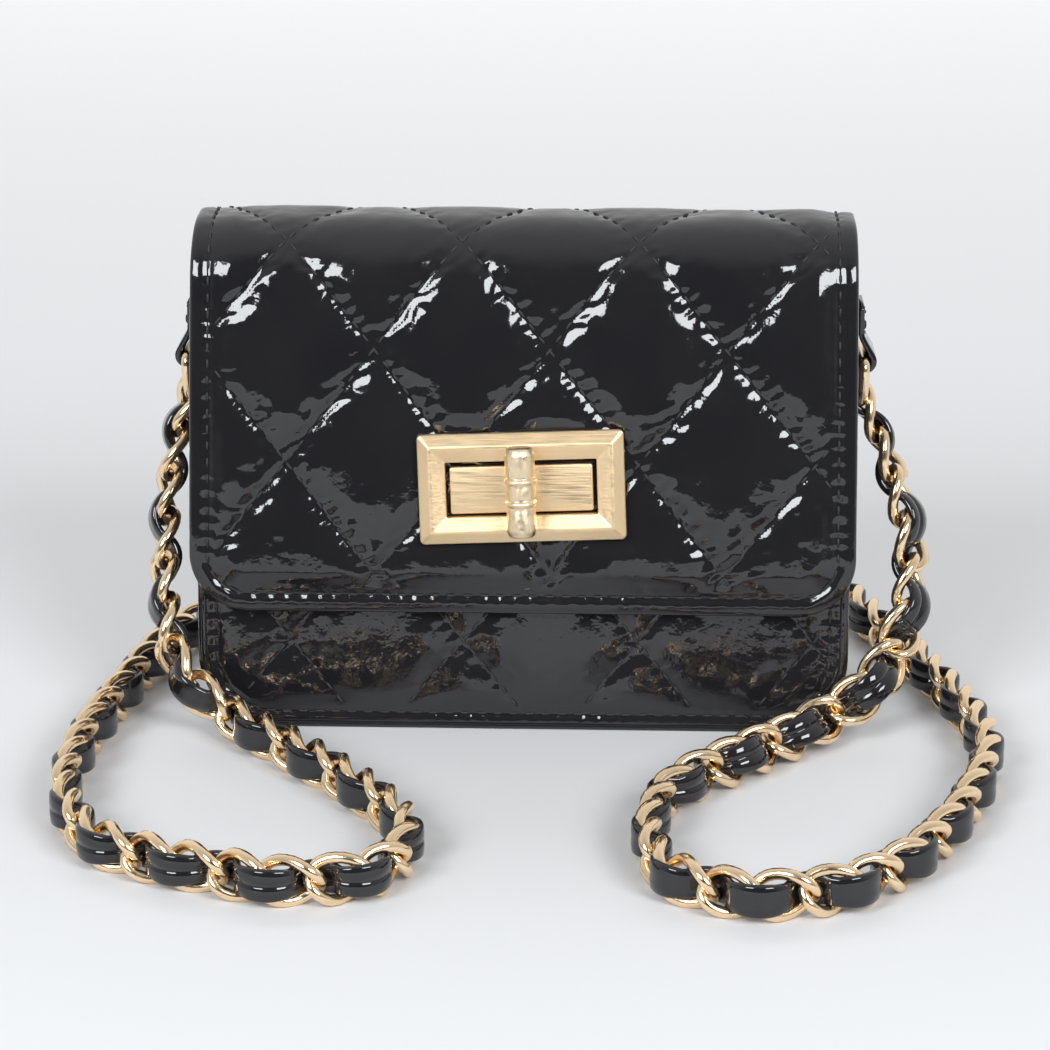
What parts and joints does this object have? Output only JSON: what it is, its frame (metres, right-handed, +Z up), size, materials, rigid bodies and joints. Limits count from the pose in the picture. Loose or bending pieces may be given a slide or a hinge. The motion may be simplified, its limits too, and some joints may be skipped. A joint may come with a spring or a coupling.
{
  "type": "crossbody purse",
  "caption": "Small quilted box purse with a fold-over flap, a rectangular turn lock, side rings and a long chain strap laced with a flat band.",
  "frame": {"origin": "middle of the flat base, on the surface that the purse stands on", "axes": "+Z up, +X to the right as the front is seen, -Y out of the front"},
  "size_m": [0.1867, 0.1936, 0.1022],
  "materials": {
    "patent": "black crinkled patent leather, high gloss, quilted in diamonds",
    "strap_lace": "black patent band, high gloss, woven through gold curb links",
    "lining": "matt black woven lining",
    "gold": "pale gold plate, brushed on the lock and polished on the links",
    "board": "grey-brown stiffener board",
    "steel": "plain nickel-plated steel"
  },
  "bodies": {
    "purse_body": {"front_panel": "patent", "back_panel": "patent", "gusset": "patent", "lining_front": "lining", "lining_back": "lining", "lining_gusset": "lining", "base_board": "board", "slip_pocket": "lining", "body_magnet": "steel", "flap_tail": "patent", "strap_tab_left": "patent", "strap_tab_right": "patent", "chain_strap": "strap_lace"},
    "flap": {"flap_outer": "patent", "flap_lining": "lining", "flap_magnet": "steel", "lock_frame": "gold", "lock_back_plate": "steel", "lock_base": "gold"},
    "turn_knob": {"lock_knob": "gold", "knob_washer": "steel"},
    "left_ring": {"strap_ring_left": "gold"},
    "right_ring": {"strap_ring_right": "gold"}
  },
  "joints": [
    {"name": "flap_hinge", "type": "hinge", "parent": "purse_body", "child": "flap", "pos_m": [0, 0.00515, 0.1022], "axis": [-1, 0, 0], "range_deg": [0, 170]},
    {"name": "knob_turn", "type": "hinge", "parent": "flap", "child": "turn_knob", "pos_m": [0, -0.02176, 0.05129], "axis": [0, -0.9906, 0.137], "range_deg": [0, 90]},
    {"name": "left_ring_swing", "type": "hinge", "parent": "purse_body", "child": "left_ring", "pos_m": [-0.0679, 0, 0.073], "axis": [0, 1, 0], "range_deg": [0, 100]},
    {"name": "right_ring_swing", "type": "hinge", "parent": "purse_body", "child": "right_ring", "pos_m": [0.0679, 0, 0.073], "axis": [0, -1, 0], "range_deg": [0, 100]}
  ]
}
